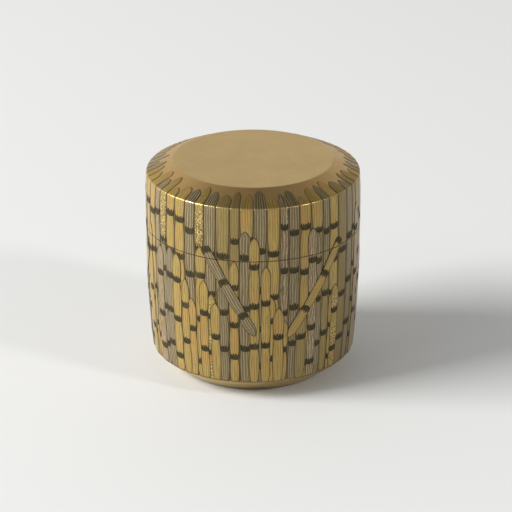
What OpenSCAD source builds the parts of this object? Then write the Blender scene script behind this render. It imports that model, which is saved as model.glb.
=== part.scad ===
// Lacquered tea caddy with a slip-over lid, bevelled at the crown and at the foot.
// Turned wooden cores carry hemp bands, a gold lacquer ground, linings and raised stems.
// The origin is at the centre of the foot's resting plane, with +Z up.

/* [Form] */
// Diameter of the gold ground at the widest level
wall_d = 65.4; // [63:0.2:70]
// Height from the foot to the top disc
caddy_h = 66.4; // [63:0.2:72]
// Height of the widest level above the foot
belly_z = 53; // [44:0.5:58]
// How far the wall draws in from the belly up to the shoulder
shoulder_draw = 0.35; // [0.1:0.05:0.8]
// How far the wall draws in from the belly down to its lower edge
edge_draw = 1.6; // [0.8:0.1:2.4]

/* [Bevels] */
// Diameter of the flat top disc
disc_d = 48.6; // [42:0.2:54]
// Height of the bevel round the top disc
crown_h = 3.6; // [2.6:0.1:4.6]
// Diameter of the foot
foot_d = 48.2; // [44:0.2:54]
// Height of the bevel above the foot
foot_h = 5.8; // [4.4:0.1:7.6]
// Rounding radius between the wall and the crown's bevel
shoulder_round = 0.5; // [0.2:0.1:1.2]
// Rounding radius between the crown's bevel and the top disc
disc_round = 0.8; // [0.3:0.1:2]
// Rounding radius between the wall and the foot's bevel
edge_round = 0.4; // [0.2:0.1:1]
// Rounding radius between the foot's bevel and its resting plane
foot_round = 0.3; // [0.2:0.1:0.6]

/* [Lid] */
// Height from the lid's lip to the top disc
lid_h = 20; // [17:0.5:24]
// Thickness of the wood in the lid's skirt
skirt_wood = 1.8; // [1.4:0.1:2.6]
// Thickness of the wood in the lid's crown
crown_wood = 2.4; // [1.8:0.1:3.4]
// Radial clearance between the lid's bore and the rise
lid_gap = 0.1; // [0.05:0.01:0.1]

/* [Body] */
// Height of the rise above the lid's seat
rise_h = 7; // [5:0.5:8]
// Thickness of the wood in the rise
rise_wood = 1.4; // [1:0.1:2]
// Thickness of the wood between the tea well and the foot's recess
floor_wood = 2.4; // [1.8:0.1:3.6]
// Rounding radius at the bottom of the tea well
well_round = 8; // [6:0.5:10]
// Width of the ring that the foot stands on
foot_land = 3; // [2:0.2:5]
// Depth of the recess inside the foot's ring
recess_h = 0.8; // [0.5:0.1:1.4]

/* [Lacquer and cloth] */
// Thickness of the gold ground and of the coat under the foot
coat_t = 0.35; // [0.2:0.05:0.6]
// Thickness of the lacquer inside the lid and the well and on the rise
lining_t = 0.3; // [0.2:0.05:0.5]
// Thickness of the hemp cloth
cloth_t = 0.25; // [0.15:0.05:0.4]
// Width of the hemp band at the lid's lip and at the body's mouth
cloth_w = 5; // [3:0.5:8]
// Height of the hemp band that wraps the foot's edge
foot_cloth_w = 7; // [5:0.5:10]

/* [Raised stems] */
// Number of stems side by side round the wall
stem_count = 56; // [40:1:70]
// Width of the groove between two stems
groove_w = 0.3; // [0.15:0.05:0.6]
// Height of the stems above the gold ground
stem_t = 0.22; // [0.1:0.02:0.3]
// Height of the joint sheaths above the gold ground
sheath_t = 0.3; // [0.16:0.02:0.4]
// Length of a joint sheath along its stem
sheath_h = 1.9; // [1.2:0.1:2.6]
// Shortest distance between two joints of one stem
joint_min = 10.5; // [9:0.5:13]
// Longest distance between two joints of one stem
joint_max = 15; // [13.5:0.5:22]
// Smallest reach of a stem's tip up the crown's bevel, as a share of the bevel
tip_min = 0.4; // [0.2:0.05:0.5]
// Largest reach of a stem's tip up the crown's bevel, as a share of the bevel
tip_max = 0.85; // [0.6:0.05:0.9]
// Distance kept between the highest joint and the shoulder
joint_clear = 3; // [1:0.5:6]
// Bare gold strip between the wall's lower edge and the stems
edge_strip = 0.2; // [0.1:0.1:2]
// Width of the line that the seam cuts between the lid's stems and the body's
seam_line = 0.16; // [0.1:0.02:0.3]

/* [Hidden] */
$fn = 96;

wall_steps = 12;   // straight steps that follow the wall's curve
arc_steps = 4;     // straight steps round a small rounding
well_steps = 8;    // straight steps round the bottom of the well
far = 200;         // longer than the caddy in any direction
GOLD = 0;
OLIVE = 1;
SILVER = 2;
SPECKLED = 3;
// Shares of the stems that each finish ends at, from gold to speckled
finish_ends = [0.42, 0.62, 0.88, 1];
// Keys that scatter one property each over the stems
WIDTH_KEY = 1;
PITCH_KEY = 2;
START_KEY = 3;
TIP_KEY = 4;
FINISH_KEY = 5;
stem_turn = 129.71;    // degrees of phase from one stem to the next in the scatter
key_turn = 78.33;      // degrees of phase from one key to the next in the scatter
scatter_gain = 437.58; // how many times the scatter wraps over its range
width_scatter = 0.36;  // share of a stem's width that its edges are moved by
first_joint = 0.15;    // share of a joint distance below the lowest joint, at least

wall_r = wall_d / 2;
disc_r = disc_d / 2;
foot_r = foot_d / 2;
shoulder_r = wall_r - shoulder_draw;
shoulder_z = caddy_h - crown_h;
edge_r = wall_r - edge_draw;
seam_z = caddy_h - lid_h;
lid_bore_r = wall_r - coat_t - skirt_wood - lining_t;
crown_inset = coat_t + crown_wood + lining_t;
rise_r = lid_bore_r - lid_gap;
rise_top = seam_z + rise_h;
well_r = rise_r - lining_t - rise_wood - lining_t;
floor_z = recess_h + coat_t + floor_wood + lining_t;
recess_r = foot_r - foot_land;
foot_cloth_z = coat_t + cloth_t;
stems_z = foot_h + edge_strip;
groove_a = 360 * groove_w / (2 * PI * wall_r);

function unit(v) = v / norm(v);

// Outward directions, as [radial, up], of the four faces that meet at the corners
under = [0, -1];
over = [0, 1];
foot_face = unit([foot_h, foot_r - edge_r]);
crown_face = unit([crown_h, shoulder_r - disc_r]);
wall_at_edge = unit([1, -3 * edge_draw / (belly_z - foot_h)]);
wall_at_shoulder = unit([1, 2 * shoulder_draw / (shoulder_z - belly_z)]);

// Radius of the gold ground's wall at height z
function wall_curve(z) = z > belly_z
    ? wall_r - shoulder_draw * pow((z - belly_z) / (shoulder_z - belly_z), 2)
    : wall_r - edge_draw * pow((belly_z - z) / (belly_z - foot_h), 3);

// Rounded corner p between faces a and b, on the surface that lies t outside the ground
function corner(p, a, b, r, t) =
    let (c = p - r * (a + b) / (1 + a * b), from = atan2(a.y, a.x), to = atan2(b.y, b.x))
    r + t <= 0
    ? [p + t * (a + b) / (1 + a * b)]
    : [for (i = [0:arc_steps])
        let (turn = from + (to - from) * i / arc_steps) c + (r + t) * [cos(turn), sin(turn)]];

// Half outline of the caddy from the foot to the disc, t outside the ground
function outline(t) = concat(
    corner([foot_r, 0], under, foot_face, foot_round, t),
    corner([edge_r, foot_h], foot_face, wall_at_edge, edge_round, t),
    [for (i = [1:wall_steps - 1])
        let (z = foot_h + (shoulder_z - foot_h) * i / wall_steps) [wall_curve(z) + t, z]],
    corner([shoulder_r, shoulder_z], wall_at_shoulder, crown_face, shoulder_round, t),
    corner([disc_r, caddy_h], crown_face, over, disc_round, t));

ground = outline(0);

// Points of an outline between two heights, with a point cut at each of them
function stretch(line, low, high) =
    let (radii = [for (p = line) [p.y, p.x]])
    concat([[lookup(low, radii), low]],
        [for (p = line) if (p.y > low && p.y < high) p],
        [[lookup(high, radii), high]]);

function reversed(list) = [for (i = [len(list) - 1:-1:0]) list[i]];

// Scattered value from 0 to 1 for stem i, the same each time for one key
function scatter(i, key) =
    let (v = sin((i + 1) * stem_turn + key * key_turn) * scatter_gain) v - floor(v);

// Angle of the edge between stem i - 1 and stem i
function stem_edge(i) =
    (i + width_scatter * (scatter(i % stem_count, WIDTH_KEY) - 0.5)) * 360 / stem_count;
function joint_pitch(i) = joint_min + (joint_max - joint_min) * scatter(i, PITCH_KEY);
function tip_z(i) = shoulder_z + crown_h * (tip_min + (tip_max - tip_min) * scatter(i, TIP_KEY));

// A joint that would straddle the seam moves up to stand on the lid
function off_seam(z) =
    z > seam_z - sheath_h - seam_line && z < seam_z + seam_line ? seam_z + seam_line : z;

// Heights of the lower edge of each sheath on stem i
function joints(i) =
    let (start = stems_z + joint_pitch(i) * (first_joint + (1 - first_joint) * scatter(i, START_KEY)))
    [for (z = [start:joint_pitch(i):shoulder_z - joint_clear - sheath_h]) off_seam(z)];

// Lower and upper height of each length of stem i between its sheaths
function lengths(i) =
    let (z = joints(i), n = len(z))
    [for (j = [0:n]) [j == 0 ? stems_z : z[j - 1] + sheath_h, j == n ? tip_z(i) : z[j]]];

function finish_of(i) =
    let (v = scatter(i, FINISH_KEY))
    v < finish_ends[GOLD] ? GOLD : v < finish_ends[OLIVE] ? OLIVE
        : v < finish_ends[SILVER] ? SILVER : SPECKLED;

// Half section of the whole caddy, t outside the ground
module form2d(t) {
    line = outline(t);
    polygon(concat([[0, line[0].y]], line, [[0, line[len(line) - 1].y]]));
}

module level2d(low, high) {
    translate([0, low]) square([far, high - low]);
}

module above2d(z) {
    level2d(z, far);
}

module below2d(z) {
    level2d(-far, z);
}

// Strip of cloth in the surface of the wood
module cloth2d(low, high) {
    intersection() {
        difference() {
            form2d(-coat_t);
            form2d(-coat_t - cloth_t);
        }
        level2d(low, high);
    }
}

module lid_cloth2d() {
    cloth2d(seam_z + lining_t, seam_z + lining_t + cloth_w);
}

module mouth_cloth2d() {
    cloth2d(seam_z - lining_t - cloth_w, seam_z - lining_t);
}

module foot_cloth2d() {
    cloth2d(foot_cloth_z, foot_cloth_z + foot_cloth_w);
}

// Hollow of the lid, grown by t into the wood: a straight bore under a bevelled crown
module lid_hollow2d(t) {
    disc = corner([disc_r, caddy_h], crown_face, over, 0, t - crown_inset)[0];
    bore = lid_bore_r + t;
    crown_slope = crown_face.x / crown_face.y;
    polygon([[0, 0], [bore, 0], [bore, disc.y - (bore - disc.x) * crown_slope], disc, [0, disc.y]]);
}

// Tea well, grown by t into the wood
module well2d(t) {
    centre = [well_r - well_round, floor_z + well_round];
    polygon(concat([[0, floor_z - t]],
        [for (i = [0:well_steps])
            let (turn = 90 * i / well_steps - 90)
            centre + (well_round + t) * [cos(turn), sin(turn)]],
        [[well_r + t, far], [0, far]]));
}

// Recess under the foot, grown by t into the wood
module recess2d(t) {
    translate([0, -far]) square([recess_r + t, far + recess_h + t]);
}

module turned() {
    rotate_extrude() children();
}

// Piece of the raised work: w degrees wide, centred on a, between two heights, t proud
module raised(a, w, low, high, t) {
    rotate([0, 0, a - w / 2])
        rotate_extrude(angle = w)
            polygon(concat(stretch(outline(t), low, high), reversed(stretch(ground, low, high))));
}

// All stems of one finish between two heights
module stems(finish, low, high) {
    for (i = [0:stem_count - 1])
        if (finish_of(i) == finish)
            for (reach = lengths(i)) {
                bottom = max(reach[0], low);
                top = min(reach[1], high);
                if (top > bottom)
                    raised((stem_edge(i) + stem_edge(i + 1)) / 2,
                        stem_edge(i + 1) - stem_edge(i) - groove_a, bottom, top, stem_t);
            }
}

// All sheaths between two heights
module sheaths(low, high) {
    for (i = [0:stem_count - 1])
        for (z = joints(i))
            if (z > low && z < high)
                raised((stem_edge(i) + stem_edge(i + 1)) / 2,
                    stem_edge(i + 1) - stem_edge(i) - groove_a, z, z + sheath_h, sheath_t);
}

module lid_stems(finish) {
    stems(finish, seam_z + seam_line / 2, far);
}

module body_stems(finish) {
    stems(finish, 0, seam_z - seam_line / 2);
}

module lid_core() {
    color("burlywood") turned() difference() {
        intersection() {
            form2d(-coat_t);
            above2d(seam_z + lining_t);
        }
        lid_hollow2d(lining_t);
        lid_cloth2d();
    }
}

module lid_cloth_band() {
    color("wheat") turned() lid_cloth2d();
}

module lid_gold_coat() {
    color([0.68, 0.58, 0.40]) turned() intersection() {
        difference() {
            form2d(0);
            form2d(-coat_t);
        }
        above2d(seam_z);
    }
}

module lid_lining() {
    color([0.30, 0.16, 0.08]) turned() difference() {
        intersection() {
            union() {
                lid_hollow2d(lining_t);
                intersection() {
                    form2d(-coat_t);
                    below2d(seam_z + lining_t);
                }
            }
            above2d(seam_z);
        }
        lid_hollow2d(0);
    }
}

module lid_gold_stems() {
    color([0.72, 0.58, 0.32]) lid_stems(GOLD);
}

module lid_olive_stems() {
    color([0.55, 0.49, 0.30]) lid_stems(OLIVE);
}

module lid_silver_stems() {
    color([0.55, 0.53, 0.48]) lid_stems(SILVER);
}

module lid_speckled_stems() {
    color([0.66, 0.52, 0.24]) lid_stems(SPECKLED);
}

module lid_sheaths() {
    color([0.22, 0.20, 0.18]) sheaths(seam_z, far);
}

module body_core() {
    color("burlywood") turned() difference() {
        union() {
            intersection() {
                form2d(-coat_t);
                below2d(seam_z - lining_t);
            }
            translate([0, seam_z - lining_t]) square([rise_r - lining_t, rise_h]);
        }
        well2d(lining_t);
        recess2d(coat_t);
        mouth_cloth2d();
        foot_cloth2d();
    }
}

module mouth_cloth_band() {
    color("wheat") turned() mouth_cloth2d();
}

module foot_cloth_band() {
    color("wheat") turned() foot_cloth2d();
}

module body_gold_coat() {
    color([0.66, 0.56, 0.38]) turned() intersection() {
        difference() {
            form2d(0);
            form2d(-coat_t);
        }
        level2d(coat_t, seam_z);
    }
}

module well_lining() {
    color([0.30, 0.16, 0.08]) turned() intersection() {
        difference() {
            well2d(lining_t);
            well2d(0);
        }
        below2d(rise_top - lining_t);
    }
}

module rise_coat() {
    color([0.62, 0.50, 0.30]) turned() {
        translate([well_r, rise_top - lining_t]) square([rise_r - well_r, lining_t]);
        translate([rise_r - lining_t, seam_z - lining_t]) square([lining_t, rise_h]);
        intersection() {
            form2d(-coat_t);
            translate([rise_r, seam_z - lining_t]) square([far, lining_t]);
        }
    }
}

module foot_coat() {
    color([0.25, 0.14, 0.08]) turned() difference() {
        union() {
            intersection() {
                form2d(0);
                below2d(coat_t);
            }
            intersection() {
                recess2d(coat_t);
                above2d(0);
            }
        }
        recess2d(0);
    }
}

module body_gold_stems() {
    color([0.72, 0.58, 0.32]) body_stems(GOLD);
}

module body_olive_stems() {
    color([0.55, 0.49, 0.30]) body_stems(OLIVE);
}

module body_silver_stems() {
    color([0.55, 0.53, 0.48]) body_stems(SILVER);
}

module body_speckled_stems() {
    color([0.66, 0.52, 0.24]) body_stems(SPECKLED);
}

module body_sheaths() {
    color([0.22, 0.20, 0.18]) sheaths(0, seam_z);
}

lid_core();
lid_cloth_band();
lid_gold_coat();
lid_lining();
lid_gold_stems();
lid_olive_stems();
lid_silver_stems();
lid_speckled_stems();
lid_sheaths();
body_core();
mouth_cloth_band();
foot_cloth_band();
body_gold_coat();
well_lining();
rise_coat();
foot_coat();
body_gold_stems();
body_olive_stems();
body_silver_stems();
body_speckled_stems();
body_sheaths();
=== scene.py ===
"""Dresses the lacquered tea caddy: gold ground, raised scouring-rush stems, linings and light."""

import logging
import math
import random
from dataclasses import dataclass, field
from enum import Enum
from typing import Any, Iterable, Mapping, Optional, Sequence, Union

import bmesh
import bpy
import numpy as np
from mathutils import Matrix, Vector


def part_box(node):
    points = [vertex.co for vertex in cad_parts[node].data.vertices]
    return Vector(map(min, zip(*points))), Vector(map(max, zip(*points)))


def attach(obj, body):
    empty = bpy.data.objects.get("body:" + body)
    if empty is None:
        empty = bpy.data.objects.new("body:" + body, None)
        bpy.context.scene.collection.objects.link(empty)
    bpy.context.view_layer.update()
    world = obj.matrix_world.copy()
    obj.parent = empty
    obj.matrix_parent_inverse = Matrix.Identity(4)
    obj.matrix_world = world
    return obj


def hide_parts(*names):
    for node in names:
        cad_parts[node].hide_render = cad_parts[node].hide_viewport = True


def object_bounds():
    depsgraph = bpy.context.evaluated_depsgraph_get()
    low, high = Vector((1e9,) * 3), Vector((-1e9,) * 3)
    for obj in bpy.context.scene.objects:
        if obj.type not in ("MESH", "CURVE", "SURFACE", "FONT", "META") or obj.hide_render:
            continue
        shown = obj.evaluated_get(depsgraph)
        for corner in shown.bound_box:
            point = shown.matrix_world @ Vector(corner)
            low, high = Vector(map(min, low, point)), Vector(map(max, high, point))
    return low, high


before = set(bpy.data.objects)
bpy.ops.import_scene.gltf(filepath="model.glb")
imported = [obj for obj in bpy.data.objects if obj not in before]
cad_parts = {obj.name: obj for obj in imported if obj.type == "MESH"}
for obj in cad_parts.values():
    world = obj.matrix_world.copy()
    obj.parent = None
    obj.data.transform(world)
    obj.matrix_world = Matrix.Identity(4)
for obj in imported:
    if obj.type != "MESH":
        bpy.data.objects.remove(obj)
CAD_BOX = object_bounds()

log = logging.getLogger("tea_caddy")

Point = tuple[float, float]
Span = tuple[float, float]
Colour = tuple[float, float, float]
Stretch = tuple[float, float, float]
Material = bpy.types.Material
Piece = bpy.types.Object

MM = 0.001
SHARP = math.radians(40)
BLACK: Colour = (0.0, 0.0, 0.0)
WHITE: Colour = (1.0, 1.0, 1.0)


class Part(Enum):
    """The two pieces that come apart, by the name of the body that carries them."""

    BODY = "body"
    LID = "lid"


class StemFinish(Enum):
    """The lacquer finishes of the stems."""

    GOLD = "gold"
    OLIVE = "olive"
    SILVER = "silver"
    STRIATED = "striated"
    SPECKLED = "speckled"


class Layer(Enum):
    """How far forward a stem is laid: its lowest and highest level over the ground, in mm."""

    BACK = (0.01, 0.10)
    MIDDLE = (0.12, 0.165)
    FRONT = (0.185, 0.225)
    LEANING = (0.245, 0.275)


# --------------------------------------------------------------------------- shader tools


class Shade:
    """An output of a node. Arithmetic on one that holds a number adds Math nodes."""

    def __init__(self, bench: "Bench", socket: bpy.types.NodeSocket) -> None:
        """Wraps a socket.

        Args:
            bench: The node tree that the socket belongs to.
            socket: The output socket.
        """
        self.bench = bench
        self.socket = socket

    def _math(self, operation: str, first: "Value", second: "Value" = 0.0) -> "Shade":
        """Adds a Math node and returns its result."""
        return self.bench.add("ShaderNodeMath", {"operation": operation}, {0: first, 1: second})

    def __add__(self, other: "Value") -> "Shade":
        """Sum with another number."""
        return self._math("ADD", self, other)

    def __radd__(self, other: "Value") -> "Shade":
        """Sum with another number, from the left."""
        return self._math("ADD", other, self)

    def __sub__(self, other: "Value") -> "Shade":
        """Difference from another number."""
        return self._math("SUBTRACT", self, other)

    def __rsub__(self, other: "Value") -> "Shade":
        """Difference from another number, from the left."""
        return self._math("SUBTRACT", other, self)

    def __mul__(self, other: "Value") -> "Shade":
        """Product with another number."""
        return self._math("MULTIPLY", self, other)

    def __rmul__(self, other: "Value") -> "Shade":
        """Product with another number, from the left."""
        return self._math("MULTIPLY", other, self)

    def __abs__(self) -> "Shade":
        """This number without its sign."""
        return self._math("ABSOLUTE", self)

    def larger(self, other: "Value") -> "Shade":
        """The larger of this number and another."""
        return self._math("MAXIMUM", self, other)

    def swing(self, wide: float) -> "Shade":
        """This noise value as a swing of the given width about 0."""
        return (self - 0.5) * wide

    def wave(self) -> "Shade":
        """Wave from 0 to 1 that repeats each time this number grows by 1."""
        return 0.5 - self._math("COSINE", self * (2 * math.pi)) * 0.5

    def above(self, low: float, high: float) -> "Shade":
        """Smooth mask that is 0 below one level and 1 above another.

        Args:
            low: The level where the mask leaves 0.
            high: The level where the mask reaches 1.

        Returns:
            The mask.
        """
        return self.bench.add(
            "ShaderNodeMapRange",
            {"interpolation_type": "SMOOTHSTEP"},
            {"Value": self, "From Min": low, "From Max": high, "To Min": 0.0, "To Max": 1.0},
        )


Value = Union[Shade, float, Colour]
Settings = Optional[Mapping[str, Any]]
Inputs = Optional[Mapping[Union[int, str], Value]]


class Bench:
    """The node tree of a material or a world under construction."""

    # Numbers of the Mix node's factor, colours and result, because its sockets share names.
    MIX_INPUTS = (0, 6, 7)
    MIX_RESULT = 2

    def __init__(self, owner: Union[Material, bpy.types.World]) -> None:
        """Empties the owner's tree.

        Args:
            owner: The new material or world.
        """
        self.owner = owner
        owner.use_nodes = True
        self.tree = owner.node_tree
        self.tree.nodes.clear()

    @classmethod
    def material(cls, name: str) -> "Bench":
        """Starts a new material."""
        return cls(bpy.data.materials.new(name))

    def node(self, kind: str, settings: Settings = None, inputs: Inputs = None) -> bpy.types.Node:
        """Adds any node: its settings are set first, then its sockets.

        Args:
            kind: The node's type.
            settings: The node's own properties.
            inputs: Socket names or numbers, each with a value or a link.

        Returns:
            The new node.
        """
        node = self.tree.nodes.new(kind)
        for key, value in (settings or {}).items():
            setattr(node, key, value)
        for key, value in (inputs or {}).items():
            socket = node.inputs[key]
            if isinstance(value, Shade):
                self.tree.links.new(value.socket, socket)
            elif isinstance(socket, bpy.types.NodeSocketColor):
                socket.default_value = (*value, 1.0)
            else:
                socket.default_value = value
        return node

    def add(
        self,
        kind: str,
        settings: Settings = None,
        inputs: Inputs = None,
        output: Union[int, str] = 0,
    ) -> Shade:
        """Adds a node and takes one of its outputs.

        Args:
            kind: The node's type.
            settings: The node's own properties.
            inputs: Socket names or numbers, each with a value or a link.
            output: The name or number of the output.

        Returns:
            The chosen output.
        """
        return Shade(self, self.node(kind, settings, inputs).outputs[output])

    def mix(self, factor: Value, first: Value, second: Value) -> Shade:
        """Mixes two colours.

        Args:
            factor: The share of the second colour.
            first: The colour at factor 0.
            second: The colour at factor 1.

        Returns:
            The mixed colour.
        """
        inputs = dict(zip(self.MIX_INPUTS, (factor, first, second)))
        return self.add("ShaderNodeMix", {"data_type": "RGBA"}, inputs, self.MIX_RESULT)

    def object_mm(self) -> Shade:
        """Takes object coordinates in millimetres.

        Returns:
            The place of each point of the piece.
        """
        place = self.add("ShaderNodeTexCoord", output="Object")
        inputs = {0: place, "Scale": 1 / MM}
        return self.add("ShaderNodeVectorMath", {"operation": "SCALE"}, inputs)

    def attribute(self, name: str, output: str) -> Shade:
        """One of the piece's own attributes."""
        return self.add("ShaderNodeAttribute", {"attribute_name": name}, output=output)

    def stretched(self, vector: Value, by: Stretch) -> Shade:
        """A vector with each part multiplied by its own number."""
        return self.add("ShaderNodeVectorMath", {"operation": "MULTIPLY"}, {0: vector, 1: by})

    def noise(
        self,
        vector: Value,
        scale: float = 1.0,
        detail: float = 3.0,
        rough: float = 0.55,
    ) -> Shade:
        """Noise from 0 to 1 over a vector in millimetres.

        Args:
            vector: The place in millimetres.
            scale: Lumps a millimetre.
            detail: Octaves of finer noise.
            rough: Strength of the finer noise.

        Returns:
            The noise value.
        """
        inputs = {"Vector": vector, "Scale": scale, "Detail": detail, "Roughness": rough}
        return self.add("ShaderNodeTexNoise", inputs=inputs)

    def flakes(self, vector: Value, scale: float, output: str = "Distance") -> Shade:
        """Voronoi cells over a vector in millimetres, with scale cells a millimetre."""
        inputs = {"Vector": vector, "Scale": scale}
        return self.add("ShaderNodeTexVoronoi", inputs=inputs, output=output)

    def bump(self, height: Shade, depth_mm: float) -> Shade:
        """Normal of a relief of the given depth in millimetres."""
        inputs = {"Strength": 1.0, "Distance": depth_mm * MM, "Height": height}
        return self.add("ShaderNodeBump", inputs=inputs)

    def finish(self, **sockets: Value) -> Material:
        """Ends the material in a Principled shader.

        Args:
            sockets: Values for the shader's sockets; an underscore stands for a space.

        Returns:
            The finished material.
        """
        inputs = {key.replace("_", " "): value for key, value in sockets.items()}
        shader = self.add("ShaderNodeBsdfPrincipled", inputs=inputs)
        self.end("ShaderNodeOutputMaterial", shader)
        return self.owner

    def end(self, kind: str, shader: Shade) -> None:
        """Links a shader to a new output node of the given type."""
        self.node(kind, inputs={"Surface": shader})


# --------------------------------------------------------------------------- finishes


@dataclass(frozen=True)
class Levels:
    """Heights in millimetres at which the lacquer of the wall and the crown changes."""

    foot: float
    seam: float
    shoulder: float
    disc: float

    # Distances from a level between which a mask rises from 0 to 1.
    SEAM_EDGE = (0.088, 0.165)
    DISC_EDGE = (-0.35, -0.02)
    BEVEL_EDGE = (-1.0, 0.0)
    CROWN_EDGE = (-0.3, 0.4)
    STEMS_FOOT = (0.0, 0.3)
    STEMS_TOP = (-0.6, 0.0)
    RUB_HIGHLIGHT_FOOT = (-0.34, -0.102)
    RUB_HIGHLIGHT_TOP = (0.104, 0.26)

    # Noise values between which a rubbed spot, lightened by a painted highlight, comes in.
    RUB_HIGHLIGHT_SPOTS = (0.38, 0.54)

    @staticmethod
    def height(bench: Bench, place: Shade) -> Shade:
        """Height of a place in millimetres."""
        return bench.add("ShaderNodeSeparateXYZ", inputs={0: place}, output="Z")

    @staticmethod
    def past(height: Shade, level: float, edge: Span) -> Shade:
        """Mask of what lies above a level, with an edge of two distances from it."""
        return height.above(level + edge[0], level + edge[1])

    def seam_line(self, height: Shade) -> Shade:
        """Mask of the painted shadow line along the seam, where the lid's lip meets the wall."""
        return 1 - abs(height - self.seam).above(*self.SEAM_EDGE)

    def on_disc(self, height: Shade) -> Shade:
        """Mask of the flat disc."""
        return self.past(height, self.disc, self.DISC_EDGE)

    def off_bevel(self, height: Shade) -> Shade:
        """Mask of all that lies above the lower bevel."""
        return self.past(height, self.foot, self.BEVEL_EDGE)

    def on_crown(self, height: Shade) -> Shade:
        """Mask of all that lies above the shoulder."""
        return self.past(height, self.shoulder, self.CROWN_EDGE)

    def between_stems(self, height: Shade) -> Shade:
        """Mask of the part of the wall that the stems cover."""
        wall = self.past(height, self.foot, self.STEMS_FOOT)
        return wall * (1 - self.past(height, self.shoulder, self.STEMS_TOP))

    def rubbed(self, bench: Bench, place: Shade, height: Shade) -> Shade:
        """Mask of the shoulder's crest, rubbed glossy by handling here and there, where it also
        gets a painted highlight.

        Args:
            bench: The material's bench.
            place: Object coordinates in millimetres.
            height: The place's height.

        Returns:
            A mask that is 1 where the crest is bright.
        """
        below = self.past(height, self.shoulder, self.RUB_HIGHLIGHT_FOOT)
        above = 1 - self.past(height, self.shoulder, self.RUB_HIGHLIGHT_TOP)
        spots = bench.noise(place, scale=1.7, rough=0.7)
        return below * above * spots.above(*self.RUB_HIGHLIGHT_SPOTS)


@dataclass(frozen=True)
class GoldGround:
    """Satin gold-powder lacquer of the disc, the bevels and the wall between the stems."""

    base: Colour = (0.427, 0.288, 0.105)
    crown: Colour = (0.44, 0.268, 0.095)
    # Lighter, greener gold below the lower bevel, a painted reflection of the bright floor.
    low: Colour = (0.52, 0.400, 0.160)
    tarnish: Colour = (0.34, 0.22, 0.092)
    powder: Colour = (0.62, 0.46, 0.225)
    speck: Colour = (0.15, 0.10, 0.04)
    shadow: Colour = (0.030, 0.020, 0.009)
    # Lighter gold of the rubbed crest: partly wear, partly a painted highlight.
    bright: Colour = (0.66, 0.48, 0.20)
    groove: Colour = (0.115, 0.085, 0.034)
    sheen: Colour = (1.0, 0.93, 0.78)

    # How strongly each colour comes in.
    cloud_amount: float = 0.26
    powder_amount: float = 0.55
    dull_amount: float = 0.50
    mottle_amount: float = 0.26
    groove_amount: float = 0.8
    rub_amount: float = 0.6

    # The gloss, and what changes it.
    metallic: float = 0.85
    roughness: float = 0.36
    cloud_rough: float = 0.16
    powder_rough: float = 0.10
    seam_rough: float = 0.3
    rub_smooth: float = 0.1
    coat: float = 0.12
    coat_roughness: float = 0.2
    grit_mm: float = 0.020

    # Pattern values between which each colour comes in.
    CLOUDS = (0.42, 0.72)
    POWDERED = (0.45, 0.75)
    DULLED = (0.25, 0.45)
    SPECKS = (0.03, 0.08)
    MOTTLES = (0.35, 0.70)

    def material(self, levels: Levels) -> Material:
        """Builds the material.

        Args:
            levels: Heights that the lacquer changes at.

        Returns:
            The material.
        """
        bench = Bench.material("gold_ground")
        place = bench.object_mm()
        height = levels.height(bench, place)
        cloud = bench.noise(place, scale=0.09, detail=4.0)
        powder = bench.noise(place, scale=7.0, rough=0.7)
        mottle = bench.noise(place, scale=0.75, detail=4.0, rough=0.65)
        specks = bench.flakes(place, 1.3)
        rubbed = levels.rubbed(bench, place, height)
        # Painted shadow: the seam's dark line stands in for the shade in the joint between lid and
        # body.
        seam = levels.seam_line(height)
        shade = bench.mix(levels.on_disc(height), self.crown, self.base)
        # Painted reflection: the lower bevel and the foot get the lighter colour.
        shade = bench.mix(levels.off_bevel(height), self.low, shade)
        shade = bench.mix(cloud.above(*self.CLOUDS) * self.cloud_amount, shade, self.tarnish)
        shade = bench.mix(powder.above(*self.POWDERED) * self.powder_amount, shade, self.powder)
        shade = bench.mix((1 - powder.above(*self.DULLED)) * self.dull_amount, shade, self.tarnish)
        shade = bench.mix(1 - specks.above(*self.SPECKS), shade, self.speck)
        shade = bench.mix(mottle.above(*self.MOTTLES) * self.mottle_amount, shade, self.tarnish)
        shade = bench.mix(levels.between_stems(height) * self.groove_amount, shade, self.groove)
        # Painted highlight: the rubbed crest is made lighter in colour as well as glossier.
        shade = bench.mix(rubbed * self.rub_amount, shade, self.bright)
        rough = self.roughness + cloud.swing(self.cloud_rough) + powder.swing(self.powder_rough)
        return bench.finish(
            Base_Color=bench.mix(seam, shade, self.shadow),
            Metallic=(1 - seam) * self.metallic,
            Roughness=rough + seam * self.seam_rough - rubbed * self.rub_smooth,
            Specular_Tint=self.sheen,
            Coat_Weight=self.coat,
            Coat_Roughness=self.coat_roughness,
            Normal=bench.bump(powder, self.grit_mm),
        )


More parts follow.
